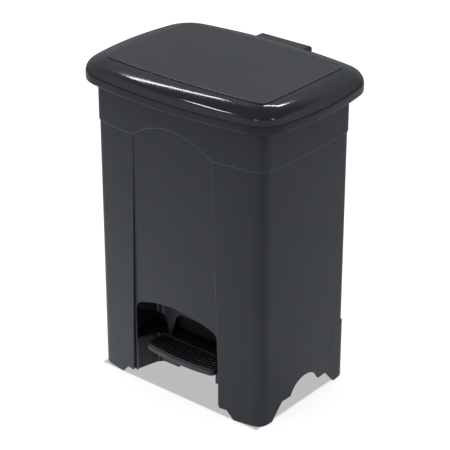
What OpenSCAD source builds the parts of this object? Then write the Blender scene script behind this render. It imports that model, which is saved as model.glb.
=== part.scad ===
// Step-on waste can: a bowed rectangular outer shell with a pedal well, a hinged lid,
// a lift-out liner, and a pedal that raises the lid through a push rod at the back.
// X is left to right, the front faces -Y, Z is up and the feet stand on Z = 0.

/* [Overall] */
// Height of the closed can
can_h = 400; // [396:1:404]
// Shift of the shell's centre towards the front, which centres the whole can on the origin
shell_y = -5.2; // [-6:0.1:-4]

/* [Shell] */
// Half the width of the shell's lower wall
shell_hw = 126; // [125.5:0.1:126.5]
// Half the depth of the shell's lower wall
shell_hd = 92.2; // [92:0.1:92.5]
// Corner radius of the shell
shell_r = 15; // [14:1:16]
// Half angle of the bowed side walls, degrees
shell_side_a = 3.7; // [3.6:0.1:3.8]
// Angle at which the bowed front runs into the corner, degrees
shell_front_a = 79.12; // [79:0.01:79.2]
// Wall thickness
wall = 2.8; // [2.4:0.1:3]
// Height of the band's lower edge
band_z = 323; // [318:1:328]
// How far the band stands proud of the lower wall
band_step = 1.2; // [0.8:0.1:1.6]
// Top of the band wall
band_top = 375; // [374:0.5:375.5]
// Height at which the rear skirt steps out
skirt_z = 75; // [70:1:80]
// How far the rear skirt stands out at the floor
skirt_step = 2.6; // [2.4:0.1:3]
// How far the rear wall draws in above the skirt
rear_taper = 1.8; // [1.4:0.1:2]

/* [Front panel] */
// Half the panel's width at the band
panel_hw = 57.5; // [56:0.5:59]
// Widening of each side of the panel towards the floor, per unit of height
panel_flare = 0.031; // [0.02:0.001:0.035]
// Radius of the panel's arched head
panel_arch_r = 88; // [84:1:92]
// Depth of the recess at the floor
panel_depth = 4.2; // [3.5:0.1:4.5]

/* [Pedal well] */
// Half the width of the well at its mouth
well_hw = 66; // [65.5:0.5:66.5]
// Half the width of the well at its back
well_back_hw = 56; // [55:0.5:57]
// Front face of the well's back wall
well_back_y = -53.8; // [-55:0.1:-53]
// Half the width of the opening
opening_hw = 63.2; // [62.5:0.1:64]
// Height of the opening's arch at the middle
opening_top = 119.3; // [118:0.1:121]
// Radius of the opening's arch
opening_r = 135; // [130:1:145]
// Radius of the opening's upper corners
opening_corner_r = 13; // [11:1:14]
// Wall thickness of the well
well_wall = 2.5; // [2.2:0.1:2.8]

/* [Feet] */
// Height of the legs' lower edge beside the front feet
leg_z = 10.4; // [9:0.1:12]
// Inner end of a front or rear foot on the floor, from the middle
foot_x = 87; // [85:1:89]
// Inner end of a foot on the side walls, from the shell's centre
foot_y = 59.9; // [58:0.1:61]
// Height of the flat beside a side foot
side_step_z = 19.8; // [18:0.1:21]
// Radius of the arch in each side wall
side_arch_r = 29.8; // [29:0.1:31]

/* [Lid] */
// Half the lid's width
lid_hw = 149.7; // [149.4:0.1:150]
// Half the lid's depth
lid_hd = 109.3; // [109:0.1:109.5]
// Shift of the lid's centre towards the front
lid_y = -3.7; // [-3.8:0.1:-3.6]
// Corner radius of the lid
lid_r = 44; // [43:1:45]
// Half angle of the lid's bowed sides, degrees
lid_side_a = 10.7; // [10.6:0.01:10.8]
// Angle at which the lid's bowed front runs into the corner, degrees
lid_front_a = 80.46; // [80.4:0.01:80.5]
// Bottom of the lid's skirt
skirt_bottom = 373.7; // [373.5:0.1:374]
// Radius of the lid's rounded top edge
lid_edge_r = 13.7; // [13:0.1:14]
// Height of the lid's border above the floor, where it meets the rounded edge
lid_edge_z = 395; // [394.5:0.1:395.5]
// Slope of the lid's border, degrees
lid_slope = 11.3; // [10:0.1:12]
// Wall thickness of the lid
lid_wall = 2.5; // [2.2:0.1:2.6]
// Height of the raised field on the lid's top
field_step = 1.2; // [0.8:0.1:1.4]

/* [Hinge] */
// Distance of the hinge axis behind the origin
hinge_y = 103.2; // [103.2:0.1:103.4]
// Height of the hinge axis
hinge_z = 382; // [381.8:0.1:382.2]
// Radius of the hinge pin
hinge_pin_r = 2; // [1.8:0.1:2.1]
// Rear face of the hood behind the hinge axis
hood_back = 9.8; // [9.6:0.1:9.8]
// Top of the hood above the hinge axis
hood_top = 11.2; // [11:0.1:11.5]
// Radius of the hood's edges
hood_edge_r = 3.5; // [3:0.5:4]
// Half the width of the hood
hood_hw = 37; // [35:1:39]
// How far the lid opens, degrees
lid_open = 70; // [60:1:70]

/* [Pedal and rod] */
// Distance of the pedal axle from the origin along Y
axle_y = -5; // [-6:1:-4]
// Height of the pedal axle
axle_z = 31; // [30.5:0.5:31.5]
// Radius of the pedal axle
axle_r = 3; // [2.8:0.1:3]
// Half the width of the pedal
pedal_hw = 52.5; // [50:0.5:53]
// Front of the pedal at the middle
pedal_front = -92; // [-93:0.5:-91]
// Radius of the bowed front of the pedal
pedal_bow_r = 270; // [250:5:300]
// Radius of the pedal's front corners
pedal_corner_r = 7; // [5:0.5:8]
// Rear edge of the pedal's pan
pedal_back = -55.5; // [-58:0.5:-55.5]
// Top of the tread's ridges
tread_top = 52.6; // [52:0.1:53]
// Number of ridges on the tread
ridges = 6; // [5:1:7]
// Distance of the lift rod behind the origin
rod_y = 79.5; // [79.3:0.1:79.7]
// Distance of the rod's upright from the middle
rod_x = 10; // [9.5:0.5:11]
// Radius of the rod
rod_r = 2.2; // [2:0.1:2.2]

/* [Liner] */
// Half the liner's width at its rim
liner_hw = 120.5; // [119:0.5:120.5]
// Half the liner's depth at its rim
liner_hd = 79.25; // [78:0.25:79.25]
// Shift of the liner's centre towards the front
liner_y = -12.75; // [-13:0.05:-12.7]
// Underside of the liner
liner_z0 = 62; // [61.5:0.5:63]
// Underside of the liner's rim
liner_rim_z = 378; // [378:0.5:378]
// Wall thickness of the liner
liner_wall = 2; // [1.8:0.1:2.2]

/* [Hidden] */

fine = 96;
eps = 0.01;
pin_gap = 0.08;     // radial running clearance of a pin in a moving bore
fit_gap = 0.03;     // radial clearance of a pin in a fixed bore

// An outline is [half width, half depth, corner radius, side angle, front angle]
shell_o = [shell_hw, shell_hd, shell_r, shell_side_a, shell_front_a];
lid_o = [lid_hw, lid_hd, lid_r, lid_side_a, lid_front_a];
liner_o = [liner_hw, liner_hd, 14, 3.61, 79.6];
flange_o = [144.2, 95.75, 38.5, 9.13, 80.32];
field_o = [116.4, 79.9, 11, 0.91, 84.26];
flange_y = -11.75;
field_y = -3;

band_out = band_step;
band_in = band_step - wall;
flange_top = band_top + 3;
floor_z = 48;
floor_t = 2.5;
skirt_y0 = 52;
well_r = 7;
panel_head_z = band_z + panel_arch_r - sqrt(pow(panel_arch_r, 2) - pow(panel_hw, 2));

lid_top = can_h - field_step;
lid_under = lid_top - lid_wall;
lid_border = 34;
hinge_boss_x = 28;
hinge_pin_x = 36;

// The rod's pins ride in radial slots, so the lid and the pedal turn in step with the rod
lid_arm = hinge_y - rod_y;
half_lift = round(lid_arm * tan(lid_open / 2) * 100) / 100;
pedal_arm = rod_y - axle_y;
pedal_half_a = atan(half_lift / pedal_arm);
rod_top_z = hinge_z - half_lift;
rod_low_z = axle_z - half_lift;
rod_bend = 5;
rod_reach = -7;

bracket_x = [25.5, 33];
boss_z = floor_z;
guide_z = [110, 300];
guide_h = 12;
guide_face_y = 83;
screw_r = 1.45;

// ---- Outlines: four bowed sides that run tangent into round corners ----

// Radii of the side bow and the front bow
function bows(o) =
  let (a1 = cos(o[3]) - 1, b1 = -cos(o[4]), e1 = o[2] * (cos(o[3]) - cos(o[4])) - o[0],
       a2 = sin(o[3]), b2 = 1 - sin(o[4]), e2 = o[1] + o[2] * (sin(o[3]) - sin(o[4])),
       det = a1 * b2 - a2 * b1)
  [(e1 * b2 - e2 * b1) / det, (a1 * e2 - a2 * e1) / det];

// Centre of the corner arc
function corner(o) =
  let (side = bows(o)[0])
  [o[0] - side + (side - o[2]) * cos(o[3]), (side - o[2]) * sin(o[3])];

function arc(c, r, a0, a1, n) = [for (i = [0 : n - 1]) c + r * [cos(a0 + (a1 - a0) * i / n), sin(a0 + (a1 - a0) * i / n)]];

// One quarter of the outline, moved in by d, from the X axis to the Y axis
function quarter(o, d) =
  let (b = bows(o))
  concat(arc([o[0] - b[0], 0], b[0] - d, 0, o[3], 3),
         arc(corner(o), o[2] - d, o[3], o[4], 4),
         arc([0, o[1] - b[1]], b[1] - d, o[4], 90, 4));

function turned(p) = [for (i = [len(p) - 1 : -1 : 0]) p[i]];
function flip_x(p) = [for (q = p) [-q[0], q[1]]];
function flip_y(p) = [for (q = p) [q[0], -q[1]]];
function inner_points(o, d) =
  let (q = quarter(o, d), top = [[0, o[1] - d]], half = concat(q, top, turned(flip_x(q))))
  concat(half, turned(flip_y([for (i = [1 : len(half) - 2]) half[i]])));

// Whole, thousandth and remaining steps of a distance, so that neighbouring arcs meet exactly
function steps(v) = let (a = floor(v), b = floor((v - a) * 1000) / 1000) [a, b, v - a - b];
module moved(x, y = 0) {
  sx = steps(x);
  sy = steps(y);
  translate([sx[0], sy[0]]) translate([sx[1], sy[1]]) translate([sx[2], sy[2]]) children();
}

// Sweeps a profile round an outline: X of the profile points outwards from the outline, Y is up
module swept(o) {
  b = bows(o);
  c = corner(o);
  for (m = [0, 1]) mirror([m, 0]) {
    moved(o[0] - b[0]) rotate_extrude(angle = 2 * o[3], start = -o[3], $fn = 720) moved(b[0]) children();
    for (n = [0, 1]) mirror([0, n])
      moved(c[0], c[1]) rotate_extrude(angle = o[4] - o[3], start = o[3], $fn = fine) moved(o[2]) children();
  }
  for (n = [0, 1]) mirror([0, n]) front_arc(o) children();
}

// The back bow alone
module front_arc(o) {
  b = bows(o);
  moved(0, o[1] - b[1])
    rotate_extrude(angle = 180 - 2 * o[4], start = o[4], $fn = 720) moved(b[1]) children();
}

// A solid slab of an outline from z0 to z1, drawn in by inset
module slab(o, z0, z1, inset = 0) {
  rim = min(o[2] - 1, 12);
  swept(o) translate([-rim, z0]) square([rim - inset, z1 - z0]);
  translate([0, 0, z0]) linear_extrude(z1 - z0) polygon(inner_points(o, (rim + inset) / 2));
}

// Draws a profile of [y, z] points from x0 to x1
module across(x0, x1) {
  translate([x0, 0, 0]) rotate([90, 0, 90]) linear_extrude(x1 - x0) children();
}

// Draws a profile of [x, z] points from y0 to y1
module along(y0, y1) {
  translate([0, y1, 0]) rotate([90, 0, 0]) linear_extrude(y1 - y0) children();
}

module pin_x(x0, x1, r, y, z) {
  translate([x0, y, z]) rotate([0, 90, 0]) cylinder(r = r, h = x1 - x0, $fn = fine);
}

module both_sides() {
  for (m = [0, 1]) mirror([m, 0, 0]) children();
}

// A slot between two points, with round ends
module slot(p, q, r) {
  d = q - p;
  n = [-d[1], d[0]] / norm(d) * r;
  polygon([p + n, p - n, q - n, q + n]);
  for (c = [p, q]) translate(c) circle(r = r, $fn = fine);
}

// ---- Outer shell ----

function panel_w(z) = panel_hw + (band_z - z) * panel_flare;

// The arched outline of the front panel, grown by g
module panel_shape(g = 0) {
  polygon([[-panel_w(-5) - g, -5], [panel_w(-5) + g, -5], [panel_hw + g, band_z], [-panel_hw - g, band_z]]);
  intersection() {
    translate([0, panel_head_z - panel_arch_r]) circle(r = panel_arch_r + g, $fn = 240);
    translate([-panel_hw - g, band_z - 20]) square([2 * (panel_hw + g), 60]);
  }
}

// Plan of the well, grown by g
module well_plan(g) {
  side = [well_hw - well_back_hw, well_back_y + 94];
  n = [side[1], side[0]] / norm(side);
  xc = well_back_hw - (well_r + well_r * n[1]) / n[0] + well_r * n[1] / n[0];
  polygon([[-well_hw - g - 1, -98], [well_hw + g + 1, -98], [well_hw + g, -94],
           [well_back_hw + g + 1.45, well_back_y - well_r + 1], [xc, well_back_y + g],
           [-xc, well_back_y + g], [-well_back_hw - g - 1.45, well_back_y - well_r + 1], [-well_hw - g, -94]]);
  both_sides() translate([xc, well_back_y - well_r]) circle(r = well_r + g + 0.03, $fn = fine);
}

// Side profile of the well, whose ceiling falls towards the back
module well_side(g) {
  polygon([[-98, -5], [-98, 128 + g], [-92, 126 + g], [well_back_y + 6 + g, 103 + g], [well_back_y + 6 + g, -5]]);
}

module well_body(g) {
  intersection() {
    linear_extrude(140) well_plan(g);
    across(-80, 80) well_side(g);
  }
}

// Outline of the opening: an arch that runs tangent into round upper corners
module opening_shape() {
  cx = opening_hw - opening_corner_r;
  arch_z = opening_top - opening_r;
  rise = sqrt(pow(opening_r - opening_corner_r, 2) - cx * cx);
  k = (opening_r + 2) / (opening_r - opening_corner_r);
  intersection() {
    translate([0, arch_z]) circle(r = opening_r, $fn = 360);
    translate([0, arch_z]) polygon([[0, 40], [-cx * k, rise * k], [0, opening_r + 9], [cx * k, rise * k]]);
  }
  both_sides() translate([cx, arch_z + rise]) circle(r = opening_corner_r, $fn = fine);
  translate([-opening_hw, -5]) square([2 * opening_hw, arch_z + rise + 5]);
  translate([-cx, arch_z + rise - 1]) square([2 * cx, opening_corner_r * 0.9]);
}

module well_mouth() {
  along(-110, -84) opening_shape();
}

// Front view of a side window: a round corner on the back wall, then a line that rises to the side
module side_window_front() {
  translate([64.4, 62]) circle(r = 19, $fn = fine);
  polygon([[45.4, 45], [80, 45], [80, 110], [60, 110], [56.5, 80.8], [52.4, 76.4], [45.4, 62.4]]);
}

module well_windows() {
  // Side windows, which wrap round the well's back corners
  both_sides() intersection() {
    across(40, 80) polygon([[-88, 53], [-50, 50.5], [-50, 84], [-60.8, 81.2], [-88, 95.4]]);
    along(-100, -45) side_window_front();
  }
  // Back window above the lever
  along(well_back_y - 1, well_back_y + well_wall + 1) {
    polygon([[-40, 50.5], [40, 50.5], [32.6, 75.9], [19, 84.3], [-19, 84.3], [-32.6, 75.9]]);
    both_sides() translate([21.3, 72.5]) circle(r = 12, $fn = fine);
  }
  // Notch that the lever swings through
  along(well_back_y - 1, well_back_y + well_wall + 1) polygon([[-29, -5], [29, -5], [29, floor_z], [-29, floor_z]]);
}

module foot_cuts() {
  c = side_arch_r - (37 - side_step_z);
  // Front: between the feet, through the wall and the well
  along(-115, -45)
    polygon([[-foot_x - 1, -1], [foot_x + 1, -1], [foot_x - 9.4, leg_z], [-foot_x + 9.4, leg_z]]);
  // Sides: a foot, a flat step and an arch in the middle
  both_sides() translate([0, shell_y, 0]) across(105, 140) {
    polygon([[-foot_y - 1, -1], [foot_y + 1, -1], [foot_y - 17.4, side_step_z], [-foot_y + 17.4, side_step_z]]);
    intersection() {
      translate([0, 37 - side_arch_r]) circle(r = side_arch_r, $fn = fine);
      translate([-40, side_step_z - 1]) square([80, 30]);
    }
  }
  // Rear
  along(70, 100) {
    polygon([[-foot_x - 1, -1], [foot_x + 1, -1], [foot_x - 9.4, leg_z], [-foot_x + 9.4, leg_z]]);
    intersection() {
      translate([0, 30 - 80]) circle(r = 80, $fn = 180);
      translate([-70, leg_z - 1]) square([140, 40]);
    }
  }
}

// The rear bow, carried on past the corners
module rear_sweep() {
  b = bows(shell_o);
  moved(0, shell_hd - b[1])
    rotate_extrude(angle = 30, start = 75, $fn = 720) moved(b[1]) children();
}

module shell_walls() {
  inner = -wall;
  taper_z = 130;
  lean_z = 54;
  difference() {
    union() {
      intersection() {
        swept(shell_o) polygon([[inner, 0], [0, 0], [0, band_z], [band_out, band_z], [band_out, band_top],
                                [band_in, band_top], [band_in, band_z + 2], [inner, band_z - 4]]);
        union() {
          translate([-140, -120, skirt_z - wall]) cube([280, 240, can_h]);
          translate([-140, -120, -1]) cube([280, 120 + skirt_y0, can_h]);
        }
      }
      // Backing where the rear wall draws in
      front_arc(shell_o)
        polygon([[inner + 0.1, skirt_z - wall], [inner + 0.1, taper_z], [inner - rear_taper, skirt_z], [inner - rear_taper, skirt_z - wall]]);
      // Rear skirt, one step further out than the wall above it
      translate([0, skirt_step, 0]) {
        intersection() {
          swept(shell_o) polygon([[inner, 0], [0, 0], [0, skirt_z], [inner, skirt_z]]);
          translate([-140, skirt_y0 - skirt_step, -1]) cube([280, 120, can_h]);
        }
        front_arc(shell_o)
          polygon([[inner + 0.1, lean_z], [inner + 0.1, skirt_z], [inner - rear_taper, skirt_z], [inner - rear_taper, skirt_z - wall]]);
      }
      intersection() {
        difference() {
          translate([0, skirt_step, 0]) slab(shell_o, skirt_z - wall, skirt_z);
          slab(shell_o, skirt_z - wall - 1, skirt_z + 1, wall / 2);
        }
        translate([-140, skirt_y0, -1]) cube([280, 120, can_h]);
      }
    }
    // The rear wall draws in towards the skirt
    rear_sweep() polygon([[0.33, taper_z + 10], [-rear_taper, skirt_z], [8, skirt_z], [8, taper_z + 10]]);
    // The skirt leans out towards the floor
    translate([0, skirt_step, 0]) rear_sweep() polygon([[0.4, 20], [-rear_taper - 0.04, skirt_z + 1], [8, skirt_z + 1], [8, 20]]);
    // Bed of the front panel, cut to its sloping face
    intersection() {
      rotate([0, 0, 180]) front_arc(shell_o)
        polygon([[-panel_depth - wall - 3, -1], [6, -1], [6, 350], [-wall - 3, 350], [-wall - 3, band_z], [-0.15 - wall / 2, band_z]]);
      along(-150, 0) panel_shape();
    }
  }
}

module front_panel() {
  slope = (panel_depth - 0.15) / (panel_head_z + 1);
  intersection() {
    rotate([0, 0, 180]) front_arc(shell_o)
      polygon([[-panel_depth - wall, 0], [-panel_depth, 0], [-0.15, panel_head_z + 1],
               [-0.15, panel_head_z + 4], [-0.15 - wall, panel_head_z + 4], [-0.15 - wall, panel_head_z + 1]]);
    along(-150, 0) panel_shape(1.6);
  }
}

module shell_floor() {
  difference() {
    slab(shell_o, floor_z, floor_z + floor_t, 0.5);
    translate([0, -shell_y, floor_z - 1]) linear_extrude(10) well_plan(1);
    // Slot that the lever's tail and the rod's lower end swing through
    translate([-6, 44 - shell_y, floor_z - 1]) cube([12, 60, 10]);
    translate([-9, 73 - shell_y, floor_z - 1]) cube([24, 30, 10]);
  }
}

module rim_flange() {
  difference() {
    translate([0, flange_y, 0]) slab(flange_o, band_top, flange_top);
    translate([0, shell_y, 0]) slab(shell_o, band_top - 1, flange_top + 1, -band_in);
  }
  difference() {
    translate([0, shell_y, 0]) swept(shell_o) translate([band_in, band_top - 1]) square([wall, flange_top - band_top + 1]);
    translate([-150, 40, band_top - 2]) cube([300, 100, 10]);
  }
}

// Ear that carries the hinge pin: a boss on the axis and a neck down to the rear wall
module hinge_ear(x0, x1) {
  difference() {
    translate([0, hinge_y, hinge_z]) across(x0, x1) {
      circle(r = 6.5, $fn = fine);
      polygon([[-5, -4.1], [-16.6, -14.4], [-16.6, -38], [-1.5, -6.3]]);
    }
    pin_x(x0 - 1, x1 + 1, hinge_pin_r + pin_gap, hinge_y, hinge_z);
  }
}

module guide_pads() {
  for (z = guide_z) translate([rod_x - 6, guide_face_y, z - guide_h / 2]) cube([20, 2, guide_h]);
}

module bracket_bosses() {
  for (x = [-39, 39], y = [-17, 7]) translate([x, y, boss_z]) difference() {
    cylinder(r = 4, h = 8.5, $fn = 48);
    translate([0, 0, -1]) cylinder(r = screw_r + fit_gap, h = 7.5, $fn = 48);
  }
}

module outer_shell() {
  color("#3d4145") difference() {
    union() {
      difference() {
        union() {
          translate([0, shell_y, 0]) shell_walls();
          translate([0, shell_y, 0]) front_panel();
          translate([0, shell_y, 0]) shell_floor();
          intersection() {
            well_body(well_wall);
            translate([0, shell_y, 0]) slab(shell_o, 0, 140, 3.5);
          }
        }
        // The well's hollow starts behind the front wall
        intersection() {
          well_body(0);
          translate([0, shell_y, 0]) slab(shell_o, -1, 150, 6.2);
        }
        well_windows();
        foot_cuts();
      }
      rim_flange();
      both_sides() hinge_ear(20, 26);
      guide_pads();
      bracket_bosses();
    }
    well_mouth();
    for (x = [-39, 39], y = [-17, 7]) translate([x, y, boss_z - 1]) cylinder(r = screw_r + fit_gap, h = 7.5, $fn = 48);
    for (z = guide_z) translate([rod_x + 9, guide_face_y - 1, z]) rotate([-90, 0, 0]) cylinder(r = screw_r + fit_gap, h = 2.6, $fn = 48);
  }
}

outer_shell();

// ---- Lid ----

// Section of the lid's rim, drawn in by g: a skirt, a round edge and a gently rising border
module lid_region(g) {
  r = lid_edge_r;
  cz = lid_edge_z - r;
  tx = -r + (r - g) * sin(lid_slope);
  tz = cz + (r - g) * cos(lid_slope);
  top = lid_top - g;
  run = (top - tz) / tan(lid_slope);
  polygon([[-lid_border - 1, skirt_bottom - g], [-g, skirt_bottom - g], [-g, cz], [-r, cz], [tx, tz], [tx - run, top], [-lid_border - 1, top]]);
  translate([-r, cz]) circle(r = r - g, $fn = fine);
}

module lid_profile() {
  difference() {
    intersection() {
      lid_region(0);
      translate([-lid_border, skirt_bottom]) square([lid_border + 1, can_h - skirt_bottom]);
    }
    lid_region(lid_wall);
  }
}

// The hood over the hinge, drawn in by g: round along its rear edge and its two ends
module hood_block(g) {
  r = hood_edge_r - g;
  low = g > 0 ? -12 : -4;
  top = hood_top - g;
  intersection() {
    across(-hood_hw + g, hood_hw - g) {
      polygon([[-8 - g, low], [hood_back - g, low], [hood_back - g, top - r], [hood_back - g - r, top], [-8 - g, top]]);
      translate([hood_back - g - r, top - r]) circle(r = r, $fn = fine);
    }
    along(-20, 20) {
      polygon([[-hood_hw + g, low - 1], [hood_hw - g, low - 1], [hood_hw - g, top - r], [hood_hw - g - r, top],
               [-hood_hw + g + r, top], [-hood_hw + g, top - r]]);
      both_sides() translate([hood_hw - g - r, top - r]) circle(r = r, $fn = fine);
    }
  }
}

module lid() {
  color("#33363a") difference() {
    union() {
      difference() {
        union() {
          translate([0, lid_y, 0]) {
            swept(lid_o) lid_profile();
            translate([0, 0, lid_under]) linear_extrude(lid_wall) polygon(inner_points(lid_o, lid_border - 1));
            // Stop rib that rests on the bumpers
            swept(lid_o) translate([-9.7, flange_top + 2]) square([2, 12]);
          }
          translate([0, hinge_y, hinge_z]) hood_block(0);
        }
        translate([0, hinge_y, hinge_z]) hood_block(lid_wall);
      }
      translate([0, field_y, 0]) slab(field_o, lid_under + 1, can_h);
      // Bosses for the hinge pin's ends
      translate([0, hinge_y, hinge_z]) both_sides() across(hinge_boss_x, hood_hw) circle(r = 6, $fn = fine);
      // Bosses for the bracket's screws
      for (x = [-15, 15], y = [56, 78]) translate([x, y, 393]) cylinder(r = 4.2, h = 3.9, $fn = 48);
    }
    pin_x(-hinge_pin_x - 0.2, hinge_pin_x + 0.2, hinge_pin_r + fit_gap, hinge_y, hinge_z);
    for (x = [-15, 15], y = [56, 78]) translate([x, y, 392]) cylinder(r = screw_r + fit_gap, h = 4.4, $fn = 48);
  }
}

// ---- Lift bracket under the lid ----

slot_out = lid_arm / cos(lid_open / 2);
slot_dir = [-cos(lid_open / 2), -sin(lid_open / 2)];

module lid_bracket() {
  hook_r = 5.5;
  slot_r = rod_r + 0.9;
  color("#1c1e20") difference() {
    union() {
      translate([-22, 50, 390]) cube([44, 33.8, 3]);
      translate([0, hinge_y, hinge_z]) across(-3.5, 3.5) difference() {
        union() {
          polygon([[-33.5, 9], [-19.4, 9], [-19.4, -9.8], [-24, -12], [-33, -12]]);
          translate(slot_out * slot_dir) circle(r = hook_r, $fn = fine);
        }
        slot(14 * slot_dir, (slot_out + 0.1) * slot_dir, slot_r);
      }
    }
    for (x = [-15, 15], y = [56, 78]) translate([x, y, 389]) cylinder(r = screw_r + 0.35, h = 5, $fn = 48);
  }
}

// A pan-head screw standing on its head, with its shank up
module screw(shank, head_h = 2.2) {
  difference() {
    union() {
      translate([0, 0, -head_h]) cylinder(r = 3.3, h = head_h, $fn = 48);
      cylinder(r = screw_r, h = shank, $fn = 48);
    }
    for (a = [0, 90]) rotate([0, 0, a]) translate([-1.8, -0.35, -head_h - 1]) cube([3.6, 0.7, 2]);
  }
}

module lid_bracket_screws() {
  color("silver") for (x = [-15, 15], y = [56, 78]) translate([x, y, 390]) screw(6);
}

module hinge_pin() {
  color("silver") pin_x(-hinge_pin_x, hinge_pin_x, hinge_pin_r, hinge_y, hinge_z);
}

// Washers between the lid's bosses and the shell's ears, which keep the lid centred
module hinge_washers() {
  color("#1c1e20") both_sides() difference() {
    pin_x(26.2, hinge_boss_x, 5.2, hinge_y, hinge_z);
    pin_x(25, 30, hinge_pin_r + pin_gap, hinge_y, hinge_z);
  }
}

module lid_bumpers() {
  color("#111111") both_sides() for (p = [[135.4, -66], [140.5, 15]])
    translate([p[0], p[1], flange_top]) cylinder(r1 = 2.3, r2 = 2, h = 1.7, $fn = 48);
}

// ---- Liner ----

module liner_body() {
  draft = -4;
  swept(liner_o) polygon([[draft - liner_wall - 6, liner_z0], [draft, liner_z0], [0, liner_rim_z], [7, liner_rim_z],
                          [7, liner_rim_z + 2.5], [-liner_wall, liner_rim_z + 2.5],
                          [draft - liner_wall, liner_z0 + liner_wall], [draft - liner_wall - 6, liner_z0 + liner_wall]]);
  translate([0, 0, liner_z0]) linear_extrude(liner_wall) polygon(inner_points(liner_o, -draft + 4));
}

module liner_solid() {
  swept(liner_o) polygon([[-12, liner_z0], [-4, liner_z0], [-2.8, 157], [-12, 157]]);
  translate([0, 0, liner_z0]) linear_extrude(157 - liner_z0) polygon(inner_points(liner_o, 8));
}

// Recess in the liner's foot that clears the pedal well, grown by g
module toe_recess(g) {
  across(-71 - g, 71 + g) polygon([[-115, 40], [-115, 134 + g], [-92, 132 + g], [-47.5 + g, 110 + g], [-47.5 + g, 40]]);
}

module liner() {
  color("#0c0c0d") difference() {
    union() {
      translate([0, liner_y, 0]) liner_body();
      intersection() {
        translate([0, liner_y, 0]) liner_solid();
        toe_recess(liner_wall);
      }
    }
    toe_recess(0);
    // Notch in the rim that clears the lift bracket
    translate([-9, 66.7, liner_rim_z - 1]) cube([18, 20, 5]);
  }
}

// ---- Pedal ----

// Plan of the pedal: a bowed front, round front corners and a straight rear edge, drawn in by g
module pedal_plan(g = 0) {
  r = pedal_bow_r - pedal_corner_r;
  cx = pedal_hw - pedal_corner_r;
  cy = pedal_front + pedal_bow_r - sqrt(r * r - cx * cx);
  k = (pedal_bow_r + 2) / r;
  intersection() {
    translate([0, pedal_front + pedal_bow_r]) circle(r = pedal_bow_r - g, $fn = 720);
    translate([0, pedal_front + pedal_bow_r])
      polygon([[0, 0], [-cx * k, -sqrt(r * r - cx * cx) * k], [0, -pedal_bow_r - 9], [cx * k, -sqrt(r * r - cx * cx) * k]]);
    translate([-100, -120]) square([200, 120 + pedal_back - g]);
  }
  both_sides() translate([cx, cy]) circle(r = pedal_corner_r - g, $fn = fine);
  translate([-pedal_hw + g, cy]) square([2 * (pedal_hw - g), pedal_back - g - cy]);
  // Fills between the wedge and the side strips
  translate([-cx, cy - 1]) square([2 * cx, 2]);
}

module pedal_beam() {
  difference() {
    across(-18, 18) polygon([[-84, 44.5], [-57, 47.5], [-8, 40], [22, 33], [30, 29], [30, 21], [-5, 22], [-57, 36], [-84, 41]]);
    across(-15.5, 15.5) polygon([[-85, 39], [-57, 44.5], [-8, 37], [22, 30], [31, 25.5], [31, 15], [-5, 15], [-85, 30]]);
  }
}

module pedal_lever() {
  far = pedal_arm / cos(pedal_half_a);
  dir = [cos(pedal_half_a), -sin(pedal_half_a)];
  color("#3a3d41") difference() {
    union() {
      // Pan with a stepped nosing
      translate([0, 0, 44]) linear_extrude(3.5) pedal_plan();
      translate([0, 0, 46]) linear_extrude(4) difference() {
        pedal_plan();
        pedal_plan(3);
      }
      translate([0, 0, 46]) linear_extrude(6) difference() {
        pedal_plan(1.2);
        pedal_plan(3);
      }
      pedal_beam();
      translate([0, axle_y, axle_z]) across(-24, 24) circle(r = 8, $fn = fine);
      // Tail that carries the rod
      translate([0, axle_y, axle_z]) across(-3.5, 3.5) {
        polygon([[-50, 12], [0, 8], [far, -far * tan(pedal_half_a) + 5], [far, -far * tan(pedal_half_a) - 4.2], [20, -10], [0, -8], [-50, 6]]);
        translate(far * dir) circle(r = 5, $fn = fine);
      }
    }
    pin_x(-25, 25, axle_r + pin_gap, axle_y, axle_z);
    translate([0, axle_y, axle_z]) across(-4, 4) slot((pedal_arm - 0.1) * dir, (far + 0.1) * dir, rod_r + 0.2);
  }
}

module pedal_tread() {
  color("#0d0d0e") {
    translate([0, 0, 47.5]) linear_extrude(2) pedal_plan(3.1);
    intersection() {
      union() for (i = [0 : ridges - 1])
        translate([0, pedal_front + pedal_bow_r, 49.4]) linear_extrude(tread_top - 49.4) difference() {
          circle(r = pedal_bow_r - 5 - 5.2 * i, $fn = 720);
          circle(r = pedal_bow_r - 7.4 - 5.2 * i, $fn = 720);
        }
      translate([0, 0, 40]) linear_extrude(20) pedal_plan(4.2);
    }
  }
}

module pedal_axle() {
  color("silver") pin_x(-37, 37, axle_r, axle_y, axle_z);
}

module axle_clips() {
  color("silver") both_sides() difference() {
    pin_x(bracket_x[1] + 0.2, bracket_x[1] + 1.4, 5.5, axle_y, axle_z);
    pin_x(0, 50, axle_r, axle_y, axle_z);
  }
}

module axle_bracket() {
  color("#26282b") difference() {
    union() {
      translate([0, axle_y, axle_z]) across(bracket_x[0], bracket_x[1]) {
        circle(r = 8, $fn = fine);
        polygon([[-19, boss_z - axle_z], [19, boss_z - axle_z], [19, boss_z - axle_z - 3], [7.6, -2], [-7.6, -2], [-19, boss_z - axle_z - 3]]);
      }
      translate([bracket_x[0], axle_y - 19, boss_z - 3]) cube([19.5, 38, 3]);
    }
    pin_x(bracket_x[0] - 1, bracket_x[1] + 1, axle_r + fit_gap, axle_y, axle_z);
    for (y = [-17, 7]) translate([39, y, boss_z - 4]) cylinder(r = screw_r + 0.35, h = 5, $fn = 48);
  }
}

module right_axle_bracket() axle_bracket();
module left_axle_bracket() mirror([1, 0, 0]) axle_bracket();

module bracket_screws() {
  color("silver") for (x = [-39, 39], y = [-17, 7]) translate([x, y, boss_z - 3]) screw(9);
}

// ---- Lift rod ----

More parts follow.
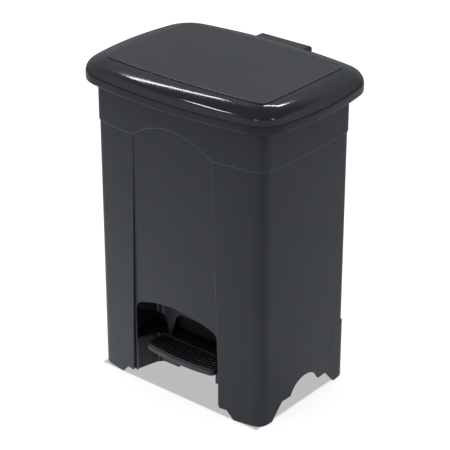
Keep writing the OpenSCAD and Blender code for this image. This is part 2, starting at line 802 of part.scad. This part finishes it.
module rod_elbow() {
  translate([rod_x - rod_bend, rod_y, -rod_bend]) rotate([90, 0, 0])
    rotate_extrude(angle = 90, $fn = fine) translate([rod_bend, 0]) circle(r = rod_r, $fn = 48);
}

module lift_rod() {
  color("silver") {
    translate([rod_x, rod_y, rod_low_z + rod_bend]) cylinder(r = rod_r, h = rod_top_z - rod_low_z - 2 * rod_bend, $fn = 48);
    translate([0, 0, rod_top_z]) rod_elbow();
    translate([0, 0, rod_low_z]) mirror([0, 0, 1]) rod_elbow();
    for (z = [rod_top_z, rod_low_z]) translate([rod_reach, rod_y, z]) rotate([0, 90, 0]) cylinder(r = rod_r, h = rod_x - rod_bend - rod_reach, $fn = 48);
  }
}

module rod_clips() {
  color("silver") for (z = [rod_top_z, rod_low_z]) difference() {
    pin_x(-5.4, -4.2, 4.2, rod_y, z);
    pin_x(-8, 0, rod_r, rod_y, z);
  }
}

module rod_guide(z) {
  color("#1c1e20") translate([0, 0, z - guide_h / 2]) difference() {
    translate([rod_x - 6, 74.5, 0]) cube([20, guide_face_y - 74.5, guide_h]);
    translate([rod_x, rod_y, -1]) cylinder(r = rod_r + pin_gap, h = guide_h + 2, $fn = 48);
    translate([rod_x + 9, 70, guide_h / 2]) rotate([-90, 0, 0]) cylinder(r = screw_r + 0.35, h = 20, $fn = 48);
  }
}

module upper_rod_guide() rod_guide(guide_z[1]);
module lower_rod_guide() rod_guide(guide_z[0]);

module guide_screws() {
  color("silver") for (z = guide_z) translate([rod_x + 9, 74.5, z]) rotate([-90, 0, 0]) screw(10);
}

lid();
liner();
pedal_lever();
pedal_tread();
pedal_axle();
axle_clips();
left_axle_bracket();
right_axle_bracket();
bracket_screws();
lift_rod();
rod_clips();
upper_rod_guide();
lower_rod_guide();
guide_screws();
lid_bracket();
lid_bracket_screws();
hinge_pin();
hinge_washers();
lid_bumpers();
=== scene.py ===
import math

import bmesh
import bpy
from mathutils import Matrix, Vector


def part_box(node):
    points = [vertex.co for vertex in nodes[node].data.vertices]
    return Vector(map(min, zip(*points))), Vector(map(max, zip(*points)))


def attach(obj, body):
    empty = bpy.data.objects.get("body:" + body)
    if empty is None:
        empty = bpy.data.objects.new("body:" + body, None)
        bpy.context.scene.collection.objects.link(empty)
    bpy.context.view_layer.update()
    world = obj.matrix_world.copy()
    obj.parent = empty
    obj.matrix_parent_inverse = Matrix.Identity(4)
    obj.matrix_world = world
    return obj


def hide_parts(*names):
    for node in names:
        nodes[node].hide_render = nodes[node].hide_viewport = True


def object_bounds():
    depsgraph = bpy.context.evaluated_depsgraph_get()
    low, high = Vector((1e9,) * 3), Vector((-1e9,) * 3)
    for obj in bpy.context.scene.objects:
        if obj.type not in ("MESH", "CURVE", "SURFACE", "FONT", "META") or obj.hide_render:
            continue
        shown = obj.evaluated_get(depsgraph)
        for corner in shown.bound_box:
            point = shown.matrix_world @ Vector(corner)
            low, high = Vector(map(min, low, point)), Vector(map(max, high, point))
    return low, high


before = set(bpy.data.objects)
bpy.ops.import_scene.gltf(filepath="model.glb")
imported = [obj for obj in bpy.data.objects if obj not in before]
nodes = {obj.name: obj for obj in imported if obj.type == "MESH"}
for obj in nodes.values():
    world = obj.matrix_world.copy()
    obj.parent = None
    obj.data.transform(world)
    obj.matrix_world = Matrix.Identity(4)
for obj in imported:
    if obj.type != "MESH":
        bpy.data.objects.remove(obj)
cad_box = [list(v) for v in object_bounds()]
scene = bpy.context.scene
base_z = cad_box[0][2]
mm = 0.001


# ---------------------------------------------------------------- camera

def make_camera():
    """The photograph's camera: right of the front, looking down, slightly off its own axis."""
    az, el, dist = math.radians(39.63), math.radians(26.17), 2.014
    target = Vector((0.0, -0.0048, 0.2))
    away = Vector((math.sin(az) * math.cos(el), -math.cos(az) * math.cos(el), math.sin(el)))
    cam = bpy.data.cameras.new("camera")
    cam.lens = 136.86
    cam.sensor_width = 36.0
    cam.shift_x = 0.0046222
    cam.shift_y = -0.0107556
    cam.clip_start = 0.1
    cam.clip_end = 50.0
    ob = bpy.data.objects.new("camera", cam)
    scene.collection.objects.link(ob)
    ob.location = target + away * dist
    ob.rotation_euler = (target - ob.location).to_track_quat("-Z", "Y").to_euler()
    scene.camera = ob


make_camera()


# ---------------------------------------------------------------- materials

def new_material(name):
    mat = bpy.data.materials.new(name)
    mat.use_nodes = True
    nt = mat.node_tree
    nt.nodes.clear()
    out = nt.nodes.new("ShaderNodeOutputMaterial")
    bsdf = nt.nodes.new("ShaderNodeBsdfPrincipled")
    nt.links.new(bsdf.outputs[0], out.inputs[0])
    return mat, nt, bsdf


def ramp(nt, source, stops):
    """Colours spread over a value, from (place, colour) stops."""
    n = nt.nodes.new("ShaderNodeValToRGB")
    el = n.color_ramp.elements
    while len(el) < len(stops):
        el.new(0.5)
    for e, (at, colour) in zip(el, stops):
        e.position = at
        e.color = (*colour, 1.0)
    nt.links.new(source, n.inputs[0])
    return n.outputs[0]


def grey(value):
    return (value,) * 3


def noise(nt, coords, scale, detail):
    n = nt.nodes.new("ShaderNodeTexNoise")
    n.inputs["Scale"].default_value = scale
    n.inputs["Detail"].default_value = detail
    n.inputs["Roughness"].default_value = 0.55
    nt.links.new(coords, n.inputs["Vector"])
    return n.outputs["Fac"]


def object_coords(nt):
    return nt.nodes.new("ShaderNodeTexCoord").outputs["Object"]


def moulded(name, dark, light, rough, grain=0.25, grain_scale=900.0, ior=1.5):
    """Moulded plastic: a faint mottle of colour, a fine grain and uneven gloss. Noise scales
    are per metre."""
    mat, nt, bsdf = new_material(name)
    co = object_coords(nt)
    mottle = noise(nt, co, 14.0, 3.0)
    nt.links.new(ramp(nt, mottle, [(0.3, dark), (0.7, light)]), bsdf.inputs["Base Color"])
    fine = noise(nt, co, grain_scale, 2.0)
    smoothest, roughest = rough
    gloss = ramp(nt, noise(nt, co, 60.0, 4.0), [(0.3, grey(smoothest)), (0.7, grey(roughest))])
    nt.links.new(gloss, bsdf.inputs["Roughness"])
    bump = nt.nodes.new("ShaderNodeBump")
    bump.inputs["Strength"].default_value = grain
    bump.inputs["Distance"].default_value = 0.1 * mm
    nt.links.new(fine, bump.inputs["Height"])
    nt.links.new(bump.outputs[0], bsdf.inputs["Normal"])
    bsdf.inputs["IOR"].default_value = ior
    return mat


def steel(name, colour, rough):
    """Plated steel, with spots that are darker and smoother than the rest."""
    mat, nt, bsdf = new_material(name)
    spots = noise(nt, object_coords(nt), 300.0, 6.0)
    dull = tuple(c * 0.86 for c in colour)
    nt.links.new(ramp(nt, spots, [(0.35, dull), (0.65, colour)]), bsdf.inputs["Base Color"])
    gloss = ramp(nt, spots, [(0.3, grey(rough - 0.07)), (0.7, grey(rough + 0.07))])
    nt.links.new(gloss, bsdf.inputs["Roughness"])
    bsdf.inputs["Metallic"].default_value = 1.0
    return mat


shell_mat = moulded("shell_plastic", (0.0165, 0.0198, 0.0245), (0.0185, 0.022, 0.027), (0.42, 0.48))
# The shell's rounded edges: lighter and glossier than the shell, a painted highlight added to the real
# light the rounding catches
edge_highlight_mat = moulded("shell_edge_highlight", (0.036, 0.041, 0.047), (0.039, 0.044, 0.05), (0.2, 0.26), grain=0.05)
# The shell's inside: darker than the shell, a painted shade
inside_shade_mat = moulded("shell_inside_shade", (0.009, 0.0095, 0.0105), (0.011, 0.0115, 0.0125), (0.45, 0.55),
                     ior=1.35)
lid_mat = moulded("lid_plastic", (0.013, 0.0145, 0.0165), (0.0145, 0.016, 0.018), (0.07, 0.1),
                  grain=0.02, grain_scale=160.0)
field_mat = moulded("lid_field", (0.014, 0.0155, 0.0175), (0.0155, 0.017, 0.019), (0.26, 0.31), grain=0.2)
under_mat = moulded("lid_underside", (0.012, 0.0135, 0.015), (0.014, 0.0155, 0.017), (0.4, 0.48))
# The field's edge: lighter than the lid, a painted highlight line
field_highlight_mat = moulded("lid_field_highlight", (0.045, 0.05, 0.056), (0.05, 0.055, 0.061), (0.2, 0.26), grain=0.02)
liner_mat = moulded("liner_plastic", (0.007, 0.007, 0.0078), (0.009, 0.009, 0.0098), (0.5, 0.58),
                    grain=0.15, ior=1.22)
pedal_mat = moulded("pedal_plastic", (0.024, 0.027, 0.031), (0.027, 0.031, 0.035), (0.36, 0.44),
                    grain=0.15)
tread_mat = moulded("tread_plastic", (0.007, 0.0075, 0.0085), (0.009, 0.0095, 0.0105), (0.1, 0.17),
                    grain=0.08)
bracket_mat = moulded("bracket_plastic", (0.010, 0.0105, 0.011), (0.013, 0.0135, 0.014), (0.35, 0.45))
steel_mat = steel("plated_steel", (0.62, 0.63, 0.64), 0.3)
screw_mat = steel("screw_steel", (0.5, 0.51, 0.52), 0.36)
rod_mat = steel("rod_steel", (0.56, 0.57, 0.58), 0.24)
rubber_mat = moulded("bumper_rubber", (0.007, 0.007, 0.007), (0.01, 0.01, 0.01), (0.6, 0.7))

node_mats = {
    "outer_shell": shell_mat, "lid": lid_mat, "liner": liner_mat, "pedal_lever": pedal_mat,
    "pedal_tread": tread_mat, "pedal_axle": steel_mat, "axle_clips": steel_mat,
    "left_axle_bracket": bracket_mat, "right_axle_bracket": bracket_mat, "bracket_screws": screw_mat,
    "lift_rod": rod_mat, "rod_clips": steel_mat, "upper_rod_guide": bracket_mat,
    "lower_rod_guide": bracket_mat, "guide_screws": screw_mat, "lid_bracket": bracket_mat,
    "lid_bracket_screws": screw_mat, "hinge_pin": rod_mat, "hinge_washers": bracket_mat,
    "lid_bumpers": rubber_mat}


def paint(ob, mat):
    ob.data.materials.clear()
    ob.data.materials.append(mat)


for name, mat in node_mats.items():
    paint(nodes[name], mat)


# ---------------------------------------------------------------- shapes

def add_piece(name, mesh, body, slot_name, mat, *stands_for):
    ob = bpy.data.objects.new(name, mesh)
    scene.collection.objects.link(ob)
    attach(ob, body)
    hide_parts(*stands_for)
    paint(ob, mat)
    return ob


def crease(bm, angle):
    """Smooth faces, with a hard edge wherever two faces meet at more than an angle."""
    limit = math.radians(angle)
    for f in bm.faces:
        f.smooth = True
    for e in bm.edges:
        e.smooth = len(e.link_faces) == 2 and e.calc_face_angle(0.0) < limit


def rounded(part, body, width, slot_name, keep=None, angle=24.0, share=None, edges=None, rings=()):
    """A copy of a CAD node with its convex edges rounded, as a moulding's are. keep says which
    faces stay, share how much of the width an edge gets, edges is a material for them that paints
    a highlight on them, and rings are the heights at which flat rings lie."""
    mesh = nodes[part].data.copy()
    mesh.name = part + "_rounded"
    bm = bmesh.new()
    bm.from_mesh(mesh)
    bmesh.ops.remove_doubles(bm, verts=bm.verts, dist=0.002 * mm)
    if keep:
        bmesh.ops.delete(bm, geom=[f for f in bm.faces if not keep(f)], context="FACES")
    # A flat ring stays in its own pieces: as one face it would close over its middle
    joins = [e for e in bm.edges
             if not any(all(abs(v.co.z - z) < 0.1 * mm for v in e.verts) for z in rings)]
    bmesh.ops.dissolve_limit(bm, angle_limit=math.radians(0.05), verts=bm.verts, edges=joins)
    crease(bm, angle)
    weight = bm.edges.layers.float.new("bevel_weight_edge")
    for e in bm.edges:
        sharp = len(e.link_faces) == 2 and not e.smooth and e.is_convex
        mid = (e.verts[0].co + e.verts[1].co) / 2
        e[weight] = (share(mid) if share else 1.0) if sharp else 0.0
    bm.to_mesh(mesh)
    bm.free()
    ob = add_piece(mesh.name, mesh, body, slot_name, node_mats[part], part)
    bev = ob.modifiers.new("edges", "BEVEL")
    bev.width = width
    bev.segments = 3
    bev.limit_method = "WEIGHT"
    bev.use_clamp_overlap = False
    bev.miter_outer = "MITER_ARC"
    # The rounded edges take the edges material, a painted highlight
    if edges:
        mesh.materials.append(edges)
        bev.material = 1
    nor = ob.modifiers.new("normals", "WEIGHTED_NORMAL")
    nor.keep_sharp = True
    nor.weight = 60
    return mesh


class Outline:
    """A plan of four bowed sides that run tangent into round corners, centred on (0, y). It has
    half the width hw and half the depth hd, and each corner of radius r turns from side_deg to
    front_deg."""

    def __init__(self, hw, hd, r, side_deg, front_deg, y):
        # The bows' radii, from where side, corner and front meet tangent
        s, f = math.radians(side_deg), math.radians(front_deg)
        a1, b1, e1 = math.cos(s) - 1, -math.cos(f), r * (math.cos(s) - math.cos(f)) - hw
        a2, b2, e2 = math.sin(s), 1 - math.sin(f), hd + r * (math.sin(s) - math.sin(f))
        det = a1 * b2 - a2 * b1
        self.side, self.front = (e1 * b2 - e2 * b1) / det, (a1 * e2 - a2 * e1) / det
        self.hw, self.hd, self.r, self.s, self.f, self.y = hw, hd, r, s, f, y
        self.cx = hw - self.side + (self.side - r) * math.cos(s)
        self.cy = (self.side - r) * math.sin(s)

    def quarter(self, steps, extra=()):
        """Points and normals from the X axis to the Y axis; extra are more X values at the end."""
        out = []
        for i in range(steps):
            t = self.s * i / steps
            out.append((self.hw - self.side, 0.0, self.side, t))
        for i in range(steps * 2):
            t = self.s + (self.f - self.s) * i / (steps * 2)
            out.append((self.cx, self.cy, self.r, t))
        ts = [self.f + (math.pi / 2 - self.f) * i / (steps * 2) for i in range(steps * 2 + 1)]
        ts = sorted(set(ts + [math.acos(x / self.front) for x in extra]))
        out += [(0.0, self.hd - self.front, self.front, t) for t in ts]
        return [((cx + r * math.cos(t), cy + r * math.sin(t)), (math.cos(t), math.sin(t)))
                for cx, cy, r, t in out]

    def loop(self, steps, extra=()):
        """The whole outline, from its quarter mirrored twice."""
        q = self.quarter(steps, extra)
        half = q + [((-p[0], p[1]), (-n[0], n[1])) for p, n in q[-2::-1]]
        full = half + [((p[0], -p[1]), (n[0], -n[1])) for p, n in half[-2:0:-1]]
        return [((p[0], p[1] + self.y), n) for p, n in full]

    def depth(self, x, y):
        """How far inside the outline a point lies."""
        x, y = abs(x), abs(y - self.y)
        if math.atan2(y, x - (self.hw - self.side)) < self.s:
            return self.side - math.hypot(x - (self.hw - self.side), y)
        if math.atan2(y - (self.hd - self.front), x) > self.f:
            return self.front - math.hypot(x, y - (self.hd - self.front))
        return self.r - math.hypot(x - self.cx, y - self.cy)


def sweep_mesh(name, outline, profile, steps, extra=(), drop=None):
    """A skin round an outline. A profile's points are (inward, up); its last ring is filled."""
    ring = outline.loop(steps, extra)
    bm = bmesh.new()
    rows = [[bm.verts.new((p[0] - d * n[0], p[1] - d * n[1], z)) for p, n in ring]
            for d, z in profile]
    count = len(ring)
    for low, high in zip(rows, rows[1:]):
        for i in range(count):
            j = (i + 1) % count
            quad = (low[i], low[j], high[j], high[i])
            mid = sum((v.co for v in quad), Vector()) / 4
            if not (drop and drop(mid)):
                bm.faces.new(quad)
    bm.faces.new(rows[-1])
    bmesh.ops.delete(bm, geom=[v for v in bm.verts if not v.link_faces], context="VERTS")
    bm.normal_update()
    crease(bm, 40.0)
    mesh = bpy.data.meshes.new(name)
    bm.to_mesh(mesh)
    bm.free()
    return mesh


def arc_points(cu, cz, r, a0, a1, n):
    """Profile points on a round edge, where 0 degrees faces outwards and 90 up."""
    ts = [math.radians(a0 + (a1 - a0) * i / n) for i in range(n + 1)]
    return [(cu - r * math.cos(t), cz + r * math.sin(t)) for t in ts]


# ---------------------------------------------------------------- lid

lid_lo, lid_hi = (Vector(v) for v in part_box("lid"))
lid_top = lid_hi.z
skirt_z = lid_lo.z
lid_out = Outline(hw=(lid_hi.x - lid_lo.x) / 2, hd=109.3 * mm, r=44 * mm, side_deg=10.7,
                  front_deg=80.46, y=-3.7 * mm)
field_out = Outline(hw=116.4 * mm, hd=79.9 * mm, r=11 * mm, side_deg=0.91, front_deg=84.26, y=-3 * mm)
field_step = 1.2 * mm
stop_rib_z = 380 * mm
hinge = Vector((0.0, 103.2 * mm, 382.0 * mm))

# u is a distance inside the lid's outline. The CAD border slopes evenly from its edge to the flat.
slope = math.radians(11.3)
edge_r = 13.7 * mm
edge_z = lid_top - 5.0 * mm - edge_r
border_u = edge_r - edge_r * math.sin(slope)
border_z = edge_z + edge_r * math.cos(slope)
flat_z = lid_top - field_step
flat_u = border_u + (flat_z - border_z) / math.tan(slope)

# The inside of the hinge hood, which interrupts the skirt
hood_x = 34.5 * mm
hood_y = 90 * mm
hood_z = hinge.z + 8.7 * mm


def in_hood(p):
    return abs(p.x) < hood_x and p.y > hood_y and p.z < hood_z


def make_lid_skin():
    """The lid's glossy outside, from the skirt's rounded foot over the border to the field."""
    foot_r = 1.0 * mm
    profile = [(2.5 * mm, skirt_z), (1.6 * mm, skirt_z)]
    profile += arc_points(foot_r, skirt_z + foot_r, foot_r, -90, 0, 6)
    profile += [(0.0, skirt_z + 3 * mm)]
    profile += arc_points(edge_r, edge_z, edge_r, 0, 68, 28)
    # The border bows from the rounded edge, where it is 22 degrees steep, to nearly level
    start_u, start_z = profile[-1]
    width, steps, steepness = flat_u - start_u, 25, 0.404
    easing = (steepness - (flat_z - start_z) / width) / width
    for i in range(1, steps):
        u = width * i / steps
        profile.append((start_u + u, start_z + steepness * u - easing * u * u))
    profile += [(flat_u + 0.6 * mm, flat_z), (flat_u + 2 * mm, flat_z)]
    mesh = sweep_mesh("lid_skin", lid_out, profile, 24, (hood_x,), in_hood)
    add_piece("lid_skin", mesh, "lid", "lid_plastic", lid_mat, "lid")


def make_lid_field():
    """The raised field: glossy sides, a painted highlight line along the edge and a satin top."""
    top_r = 0.8 * mm
    profile = [(0.0, lid_top - 2.6 * mm), (0.0, lid_top - top_r - 0.2 * mm)]
    profile += arc_points(top_r, lid_top - top_r, top_r, 0, 90, 8)
    profile += [(top_r + further * mm, lid_top) for further in (0.3, 0.6, 2)]
    mesh = sweep_mesh("lid_field", field_out, profile, 16)
    add_piece("lid_field", mesh, "lid", "lid_plastic", lid_mat, "lid")
    mesh.materials.append(field_mat)
    mesh.materials.append(field_highlight_mat)
    # line is the painted highlight along the field's rounded edge
    satin, line, glossy = 1, 2, 0
    for poly in mesh.polygons:
        d = field_out.depth(poly.center.x, poly.center.y)
        poly.material_index = satin if d > top_r + 0.35 * mm else line if d > 0.15 * mm else glossy


def outer_z(d):
    """Height of the CAD lid's outside, a distance inside its outline."""
    if d < border_u:
        return edge_z + math.sqrt(max(edge_r ** 2 - (edge_r - max(d, 0.0)) ** 2, 0.0))
    return min(border_z + (d - border_u) * math.tan(slope), flat_z)


def lid_keep(face):
    """False for the faces of the CAD lid that the skin and the field stand for."""
    c, up = face.calc_center_median(), face.normal.z
    d = lid_out.depth(c.x, c.y)
    if up < -0.5:
        return c.z > skirt_z + 0.05 * mm
    top = up > 0.9 and c.z > flat_z - 0.02 * mm
    skirt = d < 0.25 * mm and c.z < edge_z + 0.5 * mm
    field_side = abs(up) < 0.1 and c.z > flat_z - 1.5 * mm and d > 20 * mm
    border = up > 0.02 and d < flat_u + 1 * mm and abs(c.z - outer_z(d)) < 0.35 * mm
    return not (top or skirt or field_side or border)


def lid_share(p):
    """Of the CAD lid's edges, only those near the hinge are rounded."""
    return 1.0 if p.y > hinge.y - 12 * mm else 0.0


def make_lid_inside():
    """The rest of the CAD lid: its hood, its ribs and a satin underside."""
    mesh = rounded("lid", "lid", 0.4 * mm, "lid_plastic", keep=lid_keep, angle=9.0, share=lid_share,
                   rings=(stop_rib_z,))
    mesh.materials.append(under_mat)
    for poly in mesh.polygons:
        if poly.normal.z < -0.2 or lid_out.depth(poly.center.x, poly.center.y) > 6 * mm:
            poly.material_index = 1
        poly.use_smooth = poly.normal.z > -0.999


# ---------------------------------------------------------------- shell

shell_out = Outline(hw=126 * mm, hd=92.2 * mm, r=15 * mm, side_deg=3.7, front_deg=79.12, y=-5.2 * mm)
band_z = 300 * mm
rim_z = 376 * mm
panel_x = 71 * mm
panel_y = -90 * mm
opening_z = 100 * mm
arch_z = 310 * mm


def shell_share(p):
    """The shell's outer edges are rounded: wide at the band and the panel's arch, less at the
    rim, the panel's sides, the opening and the feet, and not at all at the rear skirt's ends."""
    d = shell_out.depth(p.x, p.y)
    if p.z > rim_z:
        return 0.35 if d < -3 * mm else 0.0
    if p.y < panel_y and abs(p.x) < panel_x:
        if d > 4.4 * mm:
            return 0.0
        if opening_z < p.z < arch_z:
            return 0.35 if abs(p.x) > 50 * mm else 0.55
        return 1.0 if p.z > opening_z else 0.45
    skirt_end = 3 * mm < p.z < 75.5 * mm and p.y > 30 * mm and abs(p.x) > 100 * mm
    if d > 1.7 * mm or skirt_end:
        return 0.0
    return 0.9 if p.z > band_z else 0.5


def is_inside(poly):
    """True for faces within the shell that look inwards or up, but not for the front panel's sides. These
    get the painted shade.
    """
    c, n = poly.center, poly.normal
    panel_side = abs(c.x) < 66 * mm and c.y < -82 * mm and abs(n.x) > 0.5
    inwards = c.x * n.x + c.y * n.y < 0 or n.z > 0.9
    return shell_out.depth(c.x, c.y) > 1.2 * mm and inwards and not panel_side


def make_shell():
    """The shell, with its rounded edges painted lighter, a painted highlight added to the real light they
    catch, and its inside painted darker, a painted shade.
    """
    mesh = rounded("outer_shell", "shell", 1.1 * mm, "shell_plastic", share=shell_share, edges=edge_highlight_mat)
    mesh.materials.append(inside_shade_mat)
    # Faces inside the shell take the darker material: painted shade
    for poly in mesh.polygons:
        if is_inside(poly):
            poly.material_index = 2


make_lid_skin()
make_lid_field()
make_shell()
make_lid_inside()
rounded("pedal_lever", "pedal", 0.4 * mm, "pedal_plastic")
rounded("pedal_tread", "pedal", 0.35 * mm, "tread_plastic")


# ---------------------------------------------------------------- floor, backdrop and lights

def node(nt, kind, inputs=(), **settings):
    """A shader node with its inputs set or linked in order."""
    n = nt.nodes.new(kind)
    for key, value in settings.items():
        setattr(n, key, value)
    for index, value in enumerate(inputs):
        if isinstance(value, bpy.types.NodeSocket):
            nt.links.new(value, n.inputs[index])
        elif value is not None:
            n.inputs[index].default_value = value
    return n


def calc(nt, operation, *values):
    return node(nt, "ShaderNodeMath", values, operation=operation).outputs[0]


def smooth(nt, value, low, high, to_low, to_high):
    """to_low up to low, to_high from high on, and a smooth change between."""
    n = node(nt, "ShaderNodeMapRange", (value, low, high, to_low, to_high),
             interpolation_type="SMOOTHSTEP")
    return n.outputs[0]


def toward(nt, vector, direction):
    """How far a vector points along a direction."""
    n = node(nt, "ShaderNodeVectorMath", (vector, direction), operation="DOT_PRODUCT")
    return n.outputs["Value"]


to_camera = (0.64, -0.77, 0.0)
from_camera = (-0.64, 0.77, 0.0)


def make_floor():
    """White paper, with a painted shadow of the can on it. Its reflection dims away from the object."""
    mesh = bpy.data.meshes.new("floor")
    half = 6.0
    corners = [(x * half, y * half, 0) for x, y in ((-1, -1), (1, -1), (1, 1), (-1, 1))]
    mesh.from_pydata(corners, [], [(0, 1, 2, 3)])
    ob = bpy.data.objects.new("floor", mesh)
    ob.location.z = base_z - 0.2 * mm
    scene.collection.objects.link(ob)
    mat = bpy.data.materials.new("floor_pale")
    mat.use_nodes = True
    nt = mat.node_tree
    nt.nodes.clear()
    co = object_coords(nt)
    far = node(nt, "ShaderNodeVectorMath", (co,), operation="LENGTH").outputs["Value"]
    unit = node(nt, "ShaderNodeVectorMath", (co,), operation="NORMALIZE").outputs[0]
    # What the object's gloss shows of it: by distance, and by side of the object
    near = calc(nt, "MULTIPLY", smooth(nt, far, 0.15, 1.0, 0.54, 0.0),
                smooth(nt, toward(nt, unit, (0.64, 0.77, 0.0)), -0.3, 0.5, 1.0, 0.2))
    wide = smooth(nt, far, 0.6, 2.6, 0.51, 0.1)
    side = smooth(nt, toward(nt, unit, (0.70, -0.71, 0.0)), 0.35, 0.95, 1.0, 0.62)
    mirrored = calc(nt, "MULTIPLY", calc(nt, "ADD", near, wide), side)
    path = node(nt, "ShaderNodeLightPath")
    white = node(nt, "ShaderNodeBsdfDiffuse", ((0.9, 0.9, 0.9, 1),))
    # What the camera sees: white paper with its real shading, and a flat grey painted shadow where the
    # can stands
    shade_x, shade_y, shade_mid, soft = 119 * mm, 80.6 * mm, -7.6 * mm, 4 * mm
    x, y = node(nt, "ShaderNodeSeparateXYZ", (co,)).outputs[:2]
    across = smooth(nt, calc(nt, "ABSOLUTE", x), shade_x, shade_x + soft, 1.0, 0.0)
    from_middle = calc(nt, "ABSOLUTE", calc(nt, "ADD", y, -shade_mid))
    along = smooth(nt, from_middle, shade_y, shade_y + soft, 1.0, 0.0)
    shadow_mask = calc(nt, "MULTIPLY", across, along)
    paper = node(nt, "ShaderNodeBsdfDiffuse", ((0.36, 0.36, 0.36, 1),))
    glow = node(nt, "ShaderNodeEmission", ((1, 1, 1, 1), smooth(nt, shadow_mask, 0.0, 1.0, 0.72, 0.5)))
    dim = node(nt, "ShaderNodeMixShader", (shadow_mask, paper.outputs[0], None))
    camera = node(nt, "ShaderNodeAddShader", (dim.outputs[0], glow.outputs[0]))
    mirror = node(nt, "ShaderNodeEmission", ((0.95, 0.985, 1.05, 1), mirrored))
    first = node(nt, "ShaderNodeMixShader",
                 (path.outputs["Is Camera Ray"], white.outputs[0], camera.outputs[0]))
    last = node(nt, "ShaderNodeMixShader",
                (path.outputs["Is Glossy Ray"], first.outputs[0], mirror.outputs[0]))
    node(nt, "ShaderNodeOutputMaterial", (last.outputs[0],))
    mesh.materials.append(mat)


make_floor()


def make_world():
    """A white room to the eye, and a grey studio with a dark ceiling in reflections."""
    world = bpy.data.worlds.new("studio")
    scene.world = world
    world.use_nodes = True
    nt = world.node_tree
    nt.nodes.clear()
    co = nt.nodes.new("ShaderNodeTexCoord").outputs["Generated"]
    up = node(nt, "ShaderNodeSeparateXYZ", (co,)).outputs[2]
    # The walls, lightest at the sides and darkest behind the object, and a dark ceiling
    away = smooth(nt, toward(nt, co, from_camera), -0.5, 0.6, 0.0, 1.0)
    low = smooth(nt, toward(nt, co, to_camera), -0.4, 0.9, 0.78, 0.45)
    rise = smooth(nt, up, 0.0, 0.42, 0.22, 0.3)
    fall = smooth(nt, up, 0.64, 0.76, 1.0, 0.08)
    room = node(nt, "ShaderNodeMix", (away, None, low, rise), data_type="FLOAT").outputs[0]
    glossy = calc(nt, "ADD", calc(nt, "MULTIPLY", room, fall), 0.06)
    # Soft light from overhead for everything else
    sky = calc(nt, "ADD", smooth(nt, up, 0.15, 0.85, 0.0, 1.3), 0.2)
    path = node(nt, "ShaderNodeLightPath")
    mix = node(nt, "ShaderNodeMix", (path.outputs["Is Camera Ray"],), data_type="FLOAT")
    nt.links.new(sky, mix.inputs[2])
    mix.inputs[3].default_value = 1.0
    last = node(nt, "ShaderNodeMix", (path.outputs["Is Glossy Ray"],), data_type="FLOAT")
    nt.links.new(mix.outputs[0], last.inputs[2])
    nt.links.new(glossy, last.inputs[3])
    tint = node(nt, "ShaderNodeMix", (path.outputs["Is Glossy Ray"],), data_type="RGBA")
    tint.inputs[6].default_value = (1.0, 1.0, 1.0, 1.0)
    tint.inputs[7].default_value = (0.94, 0.99, 1.07, 1.0)
    bg = node(nt, "ShaderNodeBackground", (tint.outputs[2], last.outputs[0]))
    node(nt, "ShaderNodeOutputWorld", (bg.outputs[0],))


make_world()


def lamp(name, where, size, radiance):
    """A flat lamp that shines at the lid with a given brightness."""
    light = bpy.data.lights.new(name, "AREA")
    light.shape = "RECTANGLE"
    light.size, light.size_y = size
    light.energy = radiance * math.pi * size[0] * size[1]
    ob = bpy.data.objects.new(name, light)
    scene.collection.objects.link(ob)
    ob.location = where
    ob.rotation_euler = (lid_middle - Vector(where)).to_track_quat("-Z", "Y").to_euler()


# Two strips for the streaks on the lid's border, a box for the one on its edge, and two for
# the glints at the front corner
lid_middle = Vector((0, 0, 0.39))
lamp("left_strip", (-1.26, 0.73, 1.77), (0.56, 0.05), 22.0)
lamp("back_strip", (-0.66, 1.3, 1.77), (0.4, 0.06), 24.0)
lamp("front_box", (-0.94, -0.7, 2.02), (0.46, 0.14), 20.0)
lamp("corner_left", (0.5, -1.22, 1.89), (0.42, 0.06), 9.0)
lamp("corner_right", (1.24, -0.2, 1.93), (0.24, 0.08), 16.0)

scene.view_settings.view_transform = "Standard"
